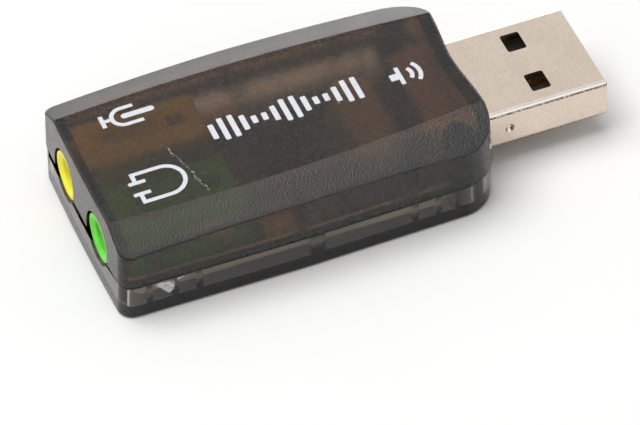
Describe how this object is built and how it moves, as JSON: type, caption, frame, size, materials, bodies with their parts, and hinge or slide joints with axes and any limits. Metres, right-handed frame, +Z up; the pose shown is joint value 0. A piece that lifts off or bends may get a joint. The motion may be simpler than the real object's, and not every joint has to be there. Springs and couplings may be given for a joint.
{
  "type": "usb sound card",
  "caption": "Stubby sound adapter: smoke-tinted clear case with a flat rectangular plug at one end and round audio jacks, yellow for a microphone and green for headphones, at the other.",
  "frame": {"origin": "midway between the corners of the jack end and the plug's tip, on the flat underside", "axes": "+X towards the plug's tip, +Z up, the microphone jack on the +Y side"},
  "size_m": [0.0533, 0.0236, 0.0105],
  "materials": {
    "smoke_plastic": "smoke-tinted clear moulding, fine satin",
    "board_green": "green solder mask",
    "solder": "bright solder",
    "nickel_sheet": "satin nickel plate",
    "black_insulator": "black moulding",
    "gold_contact": "gold flash",
    "yellow_plastic": "yellow moulding",
    "green_plastic": "green moulding",
    "tinned_spring": "tinned spring strip",
    "chip_black": "black moulding compound",
    "tinned_lead": "tinned leads",
    "crystal_metal": "drawn metal can",
    "clear_lens": "milky lens",
    "tantalum_yellow": "moulded body",
    "ceramic_tan": "fired ceramic",
    "resistor_black": "black glaze"
  },
  "bodies": {
    "root": {"upper_case": "smoke_plastic", "lower_case": "smoke_plastic", "circuit_board": "board_green", "solder_joints": "solder", "usb_shell": "nickel_sheet", "usb_insulator": "black_insulator", "usb_contact_power": "gold_contact", "usb_contact_data_minus": "gold_contact", "usb_contact_data_plus": "gold_contact", "usb_contact_ground": "gold_contact", "microphone_jack_housing": "yellow_plastic", "headphone_jack_housing": "green_plastic", "microphone_tip_spring": "tinned_spring", "microphone_ring_spring": "tinned_spring", "microphone_sleeve_contact": "tinned_spring", "headphone_tip_spring": "tinned_spring", "headphone_ring_spring": "tinned_spring", "headphone_sleeve_contact": "tinned_spring", "audio_chip": "chip_black", "audio_chip_leads": "tinned_lead", "crystal_can": "crystal_metal", "crystal_leads": "tinned_lead", "regulator_body": "chip_black", "regulator_leads": "tinned_lead", "status_light": "clear_lens", "tantalum_capacitors": "tantalum_yellow", "ceramic_capacitors": "ceramic_tan", "chip_resistors": "resistor_black"}
  },
  "joints": []
}
